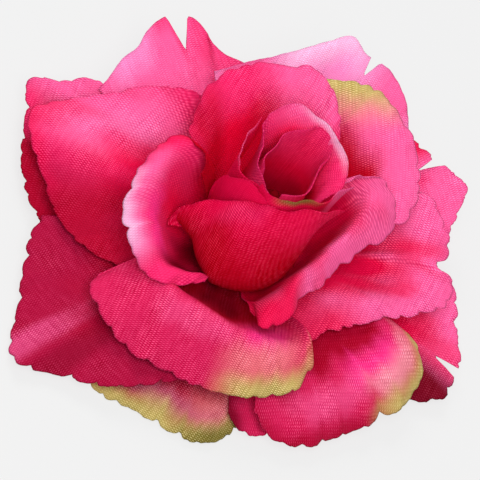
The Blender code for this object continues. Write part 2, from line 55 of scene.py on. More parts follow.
# The petals, in millimetres and degrees. Headings turn from +X towards +Y.
#
# The first fields shape the smooth surface, as the imported petals are shaped:
#   seat        height of the claw on the peg
#   rise        angle at which the petal leaves the peg
#   belly, lip  how far the rise and the rim's lean carry into the petal, as a share of the way
#               from the claw to the rim
#   outline     points along the rim: heading, reach from the axis, height, and lean, the angle
#               at which the cloth meets the rim
# Where rise, belly or lip has several values, they are spread from the first edge to the last.
#
# The others make the finished cloth:
#   slot        the finish in the record
#   cut         the flat piece: width, length and area in square millimetres
#   grain       angle of the thick threads on the flat piece
#   weave       how strongly the threads show, with their painted glints
#   scallop     how deep the scallops are, as a share of the usual depth, 1 where it isn't given
#   dyes        the colours at the claw, in the middle and at the rim, and the shares of the
#               petal's length at which the middle and the rim colour are reached; the colours
#               darken towards the claw partly as the dye does and partly as painted shade
#   notches     heading, depth and half the width of each cut into the rim
#   tints       heading and half the width (degrees), distance from the rim and half the depth,
#               colour and strength of each patch of another colour: some are the cloth's own
#               dye, others painted highlights and painted shade, as noted at the petal
#   first_edge  colour and width of the band of another colour along the first edge
#   folds       heading, half the width and height of each long fold, and the share of the
#               petal's length at which it starts
# Wherever maroon or crimson stands in this table it is painted shade, and scarlet is painted
# light.
PETALS = {
    "outer_left": dict(
        slot="cloth_light_rose", seat=2.4, rise=10, belly=0.35, lip=0.35,
        cut=(33, 49, 920), grain=-80, weave=0.85,
        dyes=("shade_maroon", "garnet", "garnet", 0.4, 0.95),
        outline=((169, 39, 9.5, 0), (170, 43, 9.5, 0), (176, 48, 8, -5), (180, 53, 6, -15),
                 (188, 49.5, 5.5, -15), (200, 46.5, 4.5, -15), (209, 43.5, 3.5, -15),
                 (217, 40, 3, -10)),
        tints=((173, 15, 0, 22, "light_rose", 0.95), (187, 9, 0, 8, "rose", 0.8))),
    "outer_back_left": dict(
        slot="cloth_pale_rose", seat=3.0, rise=15, belly=0.35, lip=0.35,
        cut=(30, 46, 780), grain=2, weave=0.65, scallop=0.1,
        dyes=("deep_rose", "light_rose", "light_rose", 0.35, 0.95),
        outline=((124, 34.5, 16, 20), (134, 38.5, 15.5, 15), (139, 47.2, 14.5, 15),
                 (145.5, 48.2, 14, 15), (151, 46.4, 13.5, 12), (156, 43.8, 12.8, 10),
                 (161.5, 43.2, 12, 8), (166.5, 41.8, 11, 5), (172.5, 41, 10, 0)),
        notches=((142.5, 8, 2.2),),
        tints=((133, 12, 0, 18, "rose", 0.7), (146, 6, 0, 5, "rose", 0.6),
               (159, 12, 0, 7, "pale_rose", 0.95))),
    "outer_back_right": dict(
        slot="cloth_light_rose", seat=3.0, rise=12, belly=0.35, lip=0.35,
        cut=(26, 48, 680), grain=-89, weave=0.95,
        dyes=("shade_crimson", "rose", "light_rose", 0.6, 0.9),
        outline=((31, 40.5, 11, 0), (39, 43.5, 12, 0), (46, 47, 13, 5), (52, 50, 14, 5),
                 (58, 47, 14.5, 5), (61, 45, 15, 0), (68, 42.5, 16, 0)),
        notches=((59.5, 6, 0.8),),
        tints=((67, 7, 0, 20, "deep_rose", 0.9),)),
    "outer_right": dict(
        slot="cloth_light_rose", seat=2.4, rise=6, belly=0.35, lip=0.35,
        cut=(29, 49, 820), grain=-93, weave=0.9,
        dyes=("shade_crimson", "deep_rose", "light_rose", 0.66, 1.0),
        outline=((-9, 43.5, 3, -25), (-5.5, 46.8, 2.6, -25), (-3.5, 48.8, 2.5, -25),
                 (1, 51.8, 2.6, -25), (4.5, 52.2, 3, -20), (8, 51.8, 3.8, -15), (10, 51.6, 5, -10),
                 (14, 49, 6, -5), (21, 47.5, 7.5, 0), (29, 44.5, 9, 0), (31, 40, 10, 0)),
        notches=((7.8, 7, 0.9),),
        # The maroon patch is painted shade on the lower lobe, under outer_front_right.
        tints=((9, 6, 4, 20, "deep_rose", 0.5), (-2, 11, 0, 40, "shade_maroon", 0.97))),
    "outer_front": dict(
        slot="cloth_leaf_tint", seat=2.4, rise=3, belly=0.35, lip=0.35,
        cut=(29, 42, 720), grain=-17, weave=1.0,
        dyes=("dusk", "dusk", "dusk", 0.4, 0.9),
        outline=((-101, 44.5, 2, -10), (-95, 45, 1, -15), (-86, 43.5, 1, -15), (-79, 43.5, 1, -15),
                 (-68, 44, 1, -15), (-61, 42, 1.2, -10), (-57, 39, 1.6, -10)),
        tints=((-80, 60, 5, 4, "blush", 0.15), (-72, 56, 0, 6.2, "leaf", 0.97),
               (-60, 21, 0, 5, "olive", 0.85), (-64, 12, 7, 5, "peach", 0.5))),
    "outer_tuck": dict(
        slot="cloth_rose", seat=3.3, rise=4, belly=0.35, lip=0.35,
        cut=(11, 37, 220), grain=-90, weave=0.7,
        dyes=("garnet", "garnet", "madder", 0.5, 0.95),
        outline=((-61, 37.5, 3.2, -10), (-57, 40.3, 2.6, -10), (-54, 41.0, 2.4, -10),
                 (-49, 40.6, 2.4, -10), (-45, 38.5, 2.8, -10)),
        tints=((-61, 7, 0, 8, "shade_maroon", 0.8),)),
    "outer_front_left": dict(
        slot="cloth_deep_rose", seat=3.6, rise=12, belly=0.35, lip=0.35,
        cut=(42, 50, 1230), grain=-83, weave=0.85,
        dyes=("shade_maroon", "garnet", "plum", 0.5, 0.8),
        outline=((-145, 41, 5.5, -10), (-139, 43.5, 4.5, -10), (-133, 45, 3.5, -15),
                 (-123, 48.5, 2, -15), (-112, 54.5, 1, -15), (-104, 49, 2, -20),
                 (-96, 45.5, 4, -15), (-87, 40.5, 6, -10), (-78, 36, 7.5, -10)),
        # The light rose band is a painted highlight along the fold's ridge, and the maroon band
        # beside it is painted shade.
        tints=((-114, 4, 0, 24, "light_rose", 0.45), (-106, 5, 6, 22, "shade_maroon", 0.4)),
        folds=((-111, 3.5, -1.6, 0.45),)),
    "outer_front_right": dict(
        slot="cloth_light_rose", seat=4.2, rise=8, belly=0.5, lip=0.35,
        cut=(37, 44, 1030), grain=-119, weave=0.85,
        dyes=("shade_maroon", "garnet", "madder", 0.6, 0.78),
        outline=((-54, 38, 6, -20), (-51, 41, 4.5, -25), (-48, 42.5, 3.8, -35),
                 (-42, 44, 3.2, -45), (-29, 44.5, 3.5, -50), (-18, 45, 4.5, -50),
                 (-8, 46.5, 6, -50), (-2, 45.5, 8, -45), (2, 41.5, 10, -35), (3, 35.5, 11.5, -20)),
        tints=((-34, 30, 0, 4.5, "garnet", 0.75), (-28, 22, 8, 5, "light_rose", 0.45),
               (-12, 14, 11, 5, "fuchsia", 0.7), (-8, 13, 7, 5, "cream", 0.4),
               (-5, 18, 0, 6.5, "leaf", 0.97))),
    "outer_back": dict(
        slot="cloth_pale_rose", seat=4.2, rise=25, belly=0.35, lip=0.35,
        cut=(42, 47, 1080), grain=-5, weave=0.65, scallop=0.15,
        dyes=("rose", "pale_rose", "pale_rose", 0.5, 0.85),
        outline=((68, 40.5, 18, 15), (77, 44, 20, 20), (85, 46, 21, 20), (93, 45, 22, 20),
                 (98, 47, 22, 20), (104, 43, 21, 20), (114, 38, 19, 20), (125, 35, 17.5, 20),
                 (139, 32.5, 17, 20)),
        notches=((90, 4.5, 1),),
        tints=((79, 11, 0, 20, "light_rose", 0.95), (104, 17, 0, 9, "blush", 0.8),
               (128, 14, 0, 20, "light_rose", 0.9))),
    "middle_left": dict(
        slot="cloth_rose", seat=5.4, rise=14, belly=0.4, lip=0.35,
        cut=(36, 47, 1100), grain=-99, weave=0.8, scallop=0.8,
        dyes=("shade_crimson", "deep_rose", "rose", 0.45, 0.85),
        outline=((156, 23, 24, 30), (159, 27.5, 22, 20), (167, 32.5, 19.5, 5),
                 (179, 39, 15.5, -15), (190, 49, 9.5, -30), (198, 46, 9, -35), (206, 42, 8, -30),
                 (215, 39, 7.5, -20), (226, 34.5, 7.5, -10), (236, 28.5, 8, 0)),
        # The light rose and pale rose patches are a painted highlight on the top part, which faces
        # the lamps; the garnet makes the lower part darker.
        tints=((179, 21, 7, 17, "light_rose", 0.97), (186, 16, 11, 8, "pale_rose", 0.25),
               (188, 7, 3, 9, "deep_rose", 0.5), (223, 32, 0, 60, "garnet", 0.95),
               (196, 16, 0, 4, "deep_rose", 0.5))),
    "middle_right": dict(
        slot="cloth_light_rose", seat=5.4, rise=(8, 4), belly=(0.4, 0.5), lip=0.35,
        cut=(38, 41, 890), grain=-96, weave=0.95,
        dyes=("shade_crimson", "deep_rose", "light_rose", 0.55, 0.85),
        outline=((-32, 26, 9, 5), (-16, 27, 11, 0), (-2, 31.5, 13.5, -15), (10, 38.5, 13, -20),
                 (17, 43, 13.5, -20), (23, 42, 15, -15), (25, 38.5, 16.5, -10),
                 (28.5, 40.8, 17, -10), (37, 39, 19, -5), (45, 37, 20.5, 0), (48, 32.5, 21.5, 5)),
        # The deep rose patches at 13 and 27 degrees are painted shade along the crease, on the
        # upper lobe's side.
        tints=((-22, 22, 0, 16, "deep_rose", 0.85), (13, 8, 9, 5, "deep_rose", 0.5),
               (27, 7, 6, 7, "deep_rose", 0.6))),
    "middle_front": dict(
        slot="cloth_rose", seat=6.2, rise=0, belly=(0.88, 0.88, 0.88, 0.85, 0.7),
        lip=(0.85, 0.85, 0.85, 0.7, 0.4),
        cut=(45, 40, 1190), grain=1, weave=1.05,
        dyes=("shade_crimson", "shade_crimson", "madder", 0.4, 0.72),
        outline=((-122, 34, 9.5, -15), (-119, 36.5, 9, -20), (-109, 37.5, 8.5, -32),
                 (-97, 38, 8, -40), (-84, 37, 8.5, -45), (-72, 36.5, 8.5, -50), (-58, 36, 9, -50),
                 (-46, 35.5, 10, -50), (-39, 33.5, 12, -52), (-36, 30, 14, -50)),
        # The light rose patch is a painted highlight along the rolled crest, and the maroon patch
        # is painted shade in the hollow behind it.
        tints=((-100, 30, 0, 6, "madder", 0.7), (-84, 26, 12, 5, "light_rose", 0.3),
               (-76, 26, 26, 10, "shade_maroon", 0.95), (-54, 14, 13, 7, "fuchsia", 0.75),
               (-56, 20, 7, 6, "peach", 0.6), (-52, 22, 0, 6, "leaf", 0.95))),
    "middle_back": dict(
        slot="cloth_rose", seat=6.8, rise=(6, 12), belly=(0.65, 0.55), lip=0.4,
        cut=(33, 36, 850), grain=-121, weave=0.8,
        dyes=("shade_crimson", "shade_crimson", "light_rose", 0.58, 0.86),
        outline=((27, 26, 24.5, -30), (37, 29.5, 24.5, -30), (49, 32.5, 24.5, -25),
                 (60, 34.5, 25, -20), (72, 35.5, 26, -10), (82, 35, 27, 0), (90, 32.5, 27.5, 5),
                 (102, 28.5, 28, 15)),
        tints=((92, 22, 7, 4, "peach", 0.5), (95, 28, 0, 9.5, "leaf", 0.98))),
    "inner_left": dict(
        slot="cloth_light_rose", seat=7.4, rise=(40, 8, -4, -7), belly=(0.4, 0.5, 0.7, 0.9),
        lip=0.4,
        cut=(28, 33, 720), grain=-84, weave=0.45, scallop=0.8,
        dyes=("shade_crimson", "lit_scarlet", "rose", 0.35, 0.85),
        outline=((-151, 14.8, 26, 65), (-166, 17, 28, 30), (-170, 21, 27, -10),
                 (-162, 25, 25.5, -35), (-151, 27, 24, -50), (-143, 28.5, 22, -50),
                 (-136, 29.5, 19, -50), (-125, 29, 17, -45), (-113, 28.5, 15, -40),
                 (-104, 26, 15, -35), (-98, 22.5, 14.6, -20), (-92, 19.2, 14.2, 15)),
        # The maroon patches are painted shade in the hollow of the curl.
        tints=((-163, 12, 0, 6, "deep_rose", 0.6), (-133, 22, 0, 6.5, "pale_rose", 0.9),
               (-150, 15, 3, 5, "light_rose", 0.7), (-130, 18, 7, 4, "fuchsia", 0.8),
               (-135, 18, 0, 3.5, "blush", 0.85), (-103, 20, 8.5, 6, "shade_maroon", 0.97),
               (-112, 26, 20, 13, "shade_maroon", 0.97)),
        first_edge=("shade_crimson", 13)),
    "inner_right": dict(
        slot="cloth_light_rose", seat=8.0, rise=(-7, -5, 0, 10), belly=(0.9, 0.82, 0.67, 0.47),
        lip=(0.45, 0.8, 0.8, 0.5),
        cut=(32, 40, 850), grain=-102, weave=0.7,
        dyes=("lit_scarlet", "deep_rose", "light_rose", 0.55, 0.92),
        outline=((-62, 20.1, 14, 20), (-57.2, 26, 18, -10), (-46.2, 23.6, 18, -35),
                 (-39.2, 20.6, 19, -50), (-21.4, 19, 18.5, -55), (-6.7, 18.9, 19.5, -55),
                 (9, 20.2, 21, -55), (19.9, 23.2, 22.5, -50), (26.5, 25.2, 25.5, -45),
                 (35.5, 24, 28, -35), (43, 19.3, 32, 0), (28, 10.5, 34, 50)),
        # The crimson patch is painted shade on the wall beside inner_front.
        tints=((-54, 26, 0, 16, "deep_rose", 0.95), (-22, 9, 0, 7, "deep_rose", 0.4),
               (-56, 20, 16, 8, "shade_crimson", 0.9))),
    "inner_back": dict(
        slot="cloth_rose", seat=9.2, rise=25, belly=0.5, lip=0.35,
        cut=(32, 36, 840), grain=-19, weave=0.85, scallop=0.7,
        dyes=("lit_scarlet", "lit_scarlet", "rose", 0.55, 0.9),
        outline=((45, 11.5, 33, 60), (73, 13, 35, 50), (90, 17, 36, 30), (101, 21, 36.5, 15),
                 (112, 23, 36, 5), (126, 23.5, 34.5, 0), (137, 25, 32, 0), (148, 25.5, 30, 10),
                 (157, 25, 28, 20), (166, 23, 24.5, 25), (174, 21, 21, 30)),
        tints=((106, 37, 2, 12.5, "light_rose", 0.93), (166, 16, 10, 14, "shade_crimson", 0.85),
               (134, 10, 12, 10, "shade_crimson", 0.35))),
    "inner_front": dict(
        slot="cloth_rose", seat=10.5, rise=(18, 10, 4, -14, -14, 3),
        belly=(0.6, 0.95, 0.85, 1.0, 0.67, 0.33), lip=0.6,
        cut=(32, 37, 830), grain=-12, weave=1.5, scallop=0.15,
        dyes=("shade_crimson", "shade_crimson", "deep_rose", 0.5, 0.95),
        outline=((-131.5, 19.2, 15.1, 10), (-137, 17.8, 18.2, 75), (-134, 14, 23.5, 118),
                 (-121, 12, 28, 108), (-109, 10.5, 31, 105), (-90, 9.5, 33, 105),
                 (-68, 9.8, 34.5, 105), (-45, 10.2, 37, 100), (-29, 11.2, 38, 90),
                 (-15, 13, 37.5, 75)),
        tints=((-100, 26, 3, 5, "rose", 0.5), (-122, 16, 16, 9, "shade_crimson", 0.7))),
    "bud_collar": dict(
        slot="cloth_rose", seat=11.4, rise=0, belly=0.4, lip=0.4,
        cut=(12, 26, 260), grain=-10, weave=0.55, scallop=0.5,
        dyes=("shade_crimson", "deep_rose", "deep_rose", 0.4, 0.95),
        outline=((-149, 12.2, 24.8, 90), (-147, 11.4, 28.5, 95), (-134, 10.5, 32, 100),
                 (-123, 9.7, 33.5, 100), (-103, 9, 34, 100), (-84, 8.9, 33, 100))),
    "bud_lip": dict(
        slot="cloth_leaf_tint", seat=12.2, rise=0, belly=0.36, lip=0.4,
        cut=(20, 30, 500), grain=-90, weave=0.55, scallop=0.3,
        dyes=("shade_crimson", "deep_rose", "deep_rose", 0.4, 0.95),
        outline=((-112, 8.3, 34.5, 100), (-90, 8, 35, 100), (-69, 8, 36, 100),
                 (-47, 8.2, 37.5, 95), (-33, 9.3, 38, 90), (-18, 10, 39, 85), (7, 11, 39.5, 75)),
        tints=((-4, 22, 0, 12, "light_rose", 0.8), (-58, 34, 0, 2.2, "olive", 0.85))),
    "bud_side": dict(
        slot="cloth_rose", seat=12.9, rise=0, belly=0.33, lip=0.4,
        cut=(17, 25, 290), grain=-80, weave=0.6, scallop=0.3,
        dyes=("shade_crimson", "lit_scarlet", "deep_rose", 0.4, 0.9),
        outline=((164, 11.5, 37.5, 70), (174, 11.2, 36.5, 72), (184, 11.1, 35.3, 76),
                 (196, 11, 34, 80), (204, 10.7, 33, 85), (213, 9.9, 32.5, 90),
                 (225, 9.1, 32.5, 95), (241, 8, 33, 95), (249, 7.6, 33, 95)),
        tints=((190, 30, 0, 1.4, "light_rose", 0.5),)),
    "bud_wrap": dict(
        slot="cloth_light_rose", seat=13.7, rise=0, belly=0.28, lip=0.4,
        cut=(35, 35, 880), grain=-51, weave=0.65, scallop=0.25,
        dyes=("lit_scarlet", "lit_scarlet", "rose", 0.5, 0.9),
        outline=((-45, 7.2, 33.5, 85), (-22, 8.3, 35, 65), (0, 9.3, 36.8, 45), (22, 9.5, 38, 38),
                 (40, 8.8, 39.6, 45), (60, 8.3, 40.2, 60), (78, 8.4, 40.5, 62),
                 (104, 8.9, 40.7, 50), (125, 10.5, 40.8, 40), (142, 10.8, 40.4, 38),
                 (156, 10.2, 39.5, 50), (166, 9.2, 38.8, 65), (187, 7.5, 37, 80),
                 (215, 6.9, 35, 90), (250, 6.6, 32.5, 95)),
        tints=((100, 70, 0, 5, "light_rose", 0.8), (75, 60, 0, 1.8, "blush", 0.7))),
    "bud_heart": dict(
        slot="cloth_deep_rose", seat=14.5, rise=0, belly=0.2, lip=0.4,
        cut=(30, 32, 720), grain=-1, weave=0.55, scallop=0.15,
        dyes=("shade_crimson", "lit_scarlet", "rose", 0.55, 1.0),
        outline=((-77, 5.4, 32.6, 95), (-49, 5.2, 33.2, 95), (-27, 5.3, 34, 90), (0, 4.7, 35, 90),
                 (30, 4.8, 36.5, 85), (51, 6.2, 38, 75), (73, 7.5, 39.6, 60), (96, 7.5, 40, 60),
                 (110, 6.9, 39.8, 65), (127, 6.1, 39, 75), (155, 5.6, 37.5, 85),
                 (184, 5.8, 36, 90), (209, 6.1, 34.5, 92), (230, 6, 32, 95),
                 (266, 5.9, 31.8, 95))),
}

# The smooth surface.
SEAT_RADIUS = 3.6           # distance of the claws from the axis, in millimetres
PROFILE_STEPS = 72          # steps in each profile from claw to rim
CHORD_POWER = 0.75          # the rim's curve spaces its points by their distance to this power
MEASURED_STATIONS = 1500    # stations at which the rim's length is measured
FEWEST_LINES = 24           # mesh lines that even the smallest petal has
CONE_TIP = 1.0              # laid flat, a petal is part of a cone, whose tip is this far (mm)
                            # below the claw
NARROWEST_CONE = 0.1        # least turn of the flat cone for one turn of the petal

# Noise is a sum of waves, each with the given length divided by a number in this range.
WAVE_STRETCH = (0.6, 1.7)
CLOTH_WAVES = 6
RIM_WAVES = 4
FRAY_WAVES = 5

# The cut edge, in millimetres or as shares of a scallop.
NOTCH_SHAPE = 0.8           # 1 cuts a straight V, less a rounder one
SCALLOP_SHAPE = 0.7         # less makes broader lobes with sharper dips between them
SHALLOWEST_SCALLOP = 0.1
SCALLOP_DRIFT = 0.35
SCALLOP_DRIFT_LENGTH = 16.0
SCALLOP_VARIETY = 0.45
SCALLOP_VARIETY_LENGTH = 9.0
FRAY_DEPTH = 0.10
FRAY_LENGTH = 1.3

# The unevenness of the cloth, in millimetres: lengths of its waves across and along the petal,
# their height, and how far in from the rim they carry. Buckles grow over a span of the petal.
RIPPLE_LENGTHS = (9.0, 30.0)
RIPPLE_REACH = 4.0
FLUTTER_LENGTHS = (3.4, 12.0)
FLUTTER_HEIGHT = 0.12
FLUTTER_REACH = 1.6
BUCKLE_LENGTHS = (24.0, 26.0)
BUCKLE_HEIGHT = 0.22
BUCKLE_SPAN = (0.2, 0.9)

# The dye and the painted light and shade on it, with lengths in millimetres.
DRIFT_LENGTHS = (14.0, 14.0)
DRIFT = 0.06                # how far the dyes' borders wander, as a share of the petal
TINT_CORE = 0.3             # share of a tint's half width that is at full strength
TINT_CORE_DEPTH = 0.1       # share of its half depth
TINT_DRIFT = 1.8            # how much of the drift a tint's border follows
EDGE_CORE = 0.6             # share of the first edge's width that has its dye in full
SINGE = 0.25                # how much darker the cutting heat left the very rim
SINGE_WIDTH = 0.35
PATCH_LENGTHS = (11.0, 11.0)
PATCHINESS = 0.35           # how much the weave's strength varies over the petal
# On the darkest colours, which are mostly painted shade, the weave's painted glints are weaker, as
# glints show only where the lamps light the cloth.
WEAVE_ON_DARK = 0.6         # strength of the weave on the darkest dyes
LIGHT_DYE_GREEN = 0.02      # green from which a dye shows the whole weave

# The colour attribute's alpha holds this share of the weave's strength, so that strengths above 1
# fit.
WEAVE_IN_ALPHA = 0.5

# The weave: how far the threads stray (m), what each layer adds to its tone, and their mean.
# The ribs' crowns and the crossings are painted highlights, the lamps' glints on the threads;
# the streaks and slubs are the threads' own unevenness.
STRAY = (0.0004, 0.0004, 0.0)
RIB_TONE = 0.4
CROSSING_TONE = 1.25
STREAK_TONE = 1.3
SLUB_TONE = 0.7
MEAN_TONE = 1.20
EYE_GAMMA = 2.2             # tones are added to the dye as the eye sees it, by this power
LIGHT_THROUGH = 0.20        # share of the light that shines through the cloth

# The studio, in metres and degrees, with the lens and its sensor in millimetres.
FLOOR_GLOW = 0.97
FLOOR_SHADE = 0.10
SKY_LIGHT = 0.46
LAMP_TARGET = (0.0, 0.0, 0.02)
CAMERA_LENS = 150.0
CAMERA_SENSOR = 36.0
CAMERA_TARGET = (0.0, 0.0, 0.0054)
CAMERA_DISTANCE = 0.40
CAMERA_ELEVATION = 55.0
CAMERA_ROLL = 37.0


def colour_property(name, colour, where):
    """A property for one linear colour."""
    return FloatVectorProperty(name=name, description=where, subtype='COLOR', size=3,
                               default=colour, min=0.0, max=1.0)


class RoseDyeAndPaintedLightSettings(bpy.types.PropertyGroup):
    """The dyes of the cloth and the colours that paint light and shade on it, as linear colours.
    """

    # Maroon is painted shade, in the deepest folds, hollows and undersides that no lamp reaches.
    shade_maroon: colour_property("Maroon", (0.160, 0.0005, 0.007), "Deepest folds and undersides")
    garnet: colour_property("Garnet", (0.375, 0.0014, 0.021), "The darkest outer petal")
    plum: colour_property("Plum", (0.370, 0.0055, 0.042), "The darkest petal's outer part")
    # Crimson is painted shade, at the claws deep in the flower and on cloth under other petals.
    shade_crimson: colour_property("Crimson", (0.510, 0.0010, 0.016), "Claws and shaded cloth")
    # Scarlet is painted light: a bright clear red that makes the shaded folds near the bud look
    # lit.
    lit_scarlet: colour_property("Scarlet", (0.860, 0.0028, 0.052), "Lit folds near the bud")
    madder: colour_property("Madder", (0.610, 0.0150, 0.090), "Rolled front petal")
    deep_rose: colour_property("Deep rose", (0.740, 0.0030, 0.060), "Bud and inner petals")
    rose: colour_property("Rose", (0.790, 0.0220, 0.135), "The main colour")
    # Light rose and pale rose are the cloth's lighter dye with painted sheen: their raised green
    # and blue stand in for the lustre of the lit cloth.
    light_rose: colour_property("Light rose", (0.840, 0.1040, 0.305), "Open petals")
    pale_rose: colour_property("Pale rose", (0.830, 0.2200, 0.490), "Back petals")
    blush: colour_property("Blush", (0.870, 0.4800, 0.700), "Palest rims")
    fuchsia: colour_property("Fuchsia", (0.930, 0.0380, 0.270), "Bands between white and red")
    dusk: colour_property("Dusk", (0.430, 0.0160, 0.050), "The green-rimmed petal's middle")
    peach: colour_property("Peach", (0.800, 0.2200, 0.230), "Where deep rose meets green")
    cream: colour_property("Cream", (0.930, 0.5200, 0.550), "Where rose meets leaf green")
    leaf: colour_property("Leaf", (0.530, 0.4250, 0.135), "Yellow-green rims")
    olive: colour_property("Olive", (0.165, 0.1350, 0.024), "Darker green rims")


class RoseClothSettings(bpy.types.PropertyGroup):
    """Sizes of the cloth and its weave."""

    thickness: FloatProperty(
        name="Cloth thickness", description="Thickness of the woven cloth",
        default=0.00020, min=0.00005, max=0.001, unit='LENGTH', precision=5)
    station_pitch: FloatProperty(
        name="Mesh pitch", description="Distance between mesh lines on a petal",
        default=0.00042, min=0.0002, max=0.002, unit='LENGTH', precision=5)
    rib_pitch: FloatProperty(
        name="Rib pitch", description="Distance between neighbouring thick threads",
        default=0.00062, min=0.0002, max=0.002, unit='LENGTH', precision=5)
    thread_pitch: FloatProperty(
        name="Thread pitch", description="Distance between neighbouring thin threads",
        default=0.000217, min=0.0001, max=0.002, unit='LENGTH', precision=6)
    # The crowns' lightness is a painted highlight: the lamps' glint on the threads, added to the
    # base colour.
    weave_tone_and_glint: FloatProperty(
        name="Weave tone", description="How much lighter the threads' crowns are than the dye",
        default=0.10, min=0.0, max=1.0)
    scallop_pitch: FloatProperty(
        name="Scallop pitch", description="Length of one scallop along a cut edge",
        default=0.0043, min=0.001, max=0.01, unit='LENGTH', precision=4)
    scallop_depth: FloatProperty(
        name="Scallop depth", description="How deep the cut edge dips between scallops",
        default=0.0008, min=0.0, max=0.003, unit='LENGTH', precision=5)
    ripple: FloatProperty(
        name="Rim ripple", description="Height of the waves that the cutting heat left in the rim",
        default=0.00045, min=0.0, max=0.003, unit='LENGTH', precision=5)


class RosePlasticSettings(bpy.types.PropertyGroup):
    """The colours of the moulded pieces, as linear colours."""

    cap: colour_property("Cap", (0.045, 0.16, 0.05), "The flat green cap under the petals")
    peg: colour_property("Peg", (0.75, 0.74, 0.70), "The milky peg that the claws sit on")
    # The core's deep red is painted shade, matched to the shaded inside of the bud's heart where
    # it shows through.
    core: colour_property("Core", (0.17, 0.0006, 0.005), "The core that the bud is rolled on")


class RoseStudioSettings(bpy.types.PropertyGroup):
    """The floor and the lamps."""

    floor: colour_property("Floor colour", (0.86, 0.86, 0.86), "Colour of the plain floor")
    key_power: FloatProperty(
        name="Key power", description="Power of the large soft lamp overhead",
        default=3.5, min=0.0)
    fill_power: FloatProperty(
        name="Back power", description="Power of the smaller lamp at the back",
        default=2.0, min=0.0)


def smooth_curve(knots, points, where):
    """Points at `where` along a smooth curve through `points`, which lie at `knots`."""
    steps = np.diff(knots)
    secants = np.diff(points, axis=0) / steps[:, None]
    inner = (secants[:-1] * steps[1:, None] + secants[1:] * steps[:-1, None])
    inner /= (steps[:-1] + steps[1:])[:, None]
    slopes = np.vstack([secants[:1], inner, secants[-1:]])
    span = np.clip(np.searchsorted(knots, where, side="right") - 1, 0, len(steps) - 1)
    width = steps[span][:, None]
    u = (where - knots[span])[:, None] / width
    start = (1 + 2 * u) * (1 - u) ** 2 * points[span] + u * (1 - u) ** 2 * width * slopes[span]
    end = u * u * (3 - 2 * u) * points[span + 1] + u * u * (u - 1) * width * slopes[span + 1]
    return start + end


def outline_curve(outline, across):
    """Heading (radians), reach, height and lean (radians) of the rim at each station."""
    table = np.array(outline, dtype=float)
    heading = np.radians(table[:, 0])
    place = np.column_stack([table[:, 1] * np.cos(heading), table[:, 1] * np.sin(heading),
                             table[:, 2]])
    chords = np.linalg.norm(np.diff(place, axis=0), axis=1) ** CHORD_POWER
    knots = np.concatenate([[0.0], np.cumsum(chords)])
    knots /= knots[-1]
    rim = smooth_curve(knots, np.column_stack([place, table[:, 3]]), across)
    turned = np.unwrap(np.arctan2(rim[:, 1], rim[:, 0]))
    return turned, np.hypot(rim[:, 0], rim[:, 1]), rim[:, 2], np.radians(rim[:, 3])


def from_first_to_last(value, across):
    """One value, or values spread evenly from the first edge to the last, at each station."""
    values = np.atleast_1d(value)
    return np.interp(across, np.linspace(0.0, 1.0, len(values)), values)


def claw_to_rim_profiles(petal, across):
    """Headings, and one Bezier profile a station, as reach and height in its half-plane."""
    heading, reach, height, lean = outline_curve(petal["outline"], across)
    rise = np.radians(from_first_to_last(petal["rise"], across))
    chord = np.hypot(reach - SEAT_RADIUS, height - petal["seat"])
    belly = from_first_to_last(petal["belly"], across) * chord
    lip = from_first_to_last(petal["lip"], across) * chord
    claw = np.column_stack([np.full_like(reach, SEAT_RADIUS), np.full_like(reach, petal["seat"])])
    rim = np.column_stack([reach, height])
    after_claw = claw + belly[:, None] * np.column_stack([np.cos(rise), np.sin(rise)])
    before_rim = rim - lip[:, None] * np.column_stack([np.cos(lean), np.sin(lean)])
    t = np.linspace(0.0, 1.0, PROFILE_STEPS + 1)[None, :, None]
    curve = ((1 - t) ** 3 * claw[:, None] + 3 * t * (1 - t) ** 2 * after_claw[:, None]
             + 3 * t * t * (1 - t) * before_rim[:, None] + t ** 3 * rim[:, None])
    return heading, curve


def lengths_along(points):
    """Distance walked along each row of points."""
    walked = np.zeros(points.shape[:-1])
    walked[..., 1:] = np.cumsum(np.linalg.norm(np.diff(points, axis=-2), axis=-1), axis=-1)
    return walked


def smooth_step(low, high, value):
    """0 below low, 1 above high and a smooth change between them."""
    u = np.clip((value - low) / (high - low), 0.0, 1.0)
    return u * u * (3 - 2 * u)


def gentle_noise(seed, first, second, waves):
    """Smooth noise between about -1 and 1 from a few waves in two coordinates."""
    draw = np.random.RandomState(seed)
    total = np.zeros(np.broadcast(first, second).shape)
    for _ in range(waves):
        turn = draw.uniform(0, 2 * np.pi)
        stretch = draw.uniform(*WAVE_STRETCH)
        shift = draw.uniform(0, 2 * np.pi)
        total += np.sin(2 * np.pi * stretch * (np.cos(turn) * first + np.sin(turn) * second)
                        + shift)
    return total / np.sqrt(waves)


def cloth_noise(seed, spots, lengths):
    """Noise over a petal, with waves of these lengths across and along it."""
    return gentle_noise(seed, spots.across / lengths[0], spots.from_claw / lengths[1],
                        CLOTH_WAVES)


def rim_noise(seed, rim_length, wave_length, row, waves=RIM_WAVES):
    """Noise along the rim: one row of the noise over a petal."""
    return gentle_noise(seed, rim_length / wave_length, row, waves)


def notch_depth(petal, heading, reach):
    """How much cloth the notches take off the rim at each heading, in millimetres."""
    cut = np.zeros_like(heading)
    for middle, depth, half_width in petal.get("notches", ()):
        away = np.abs(heading - np.radians(middle)) * reach
        cut = np.maximum(cut, depth * np.clip(1 - away / half_width, 0, 1) ** NOTCH_SHAPE)
    return cut


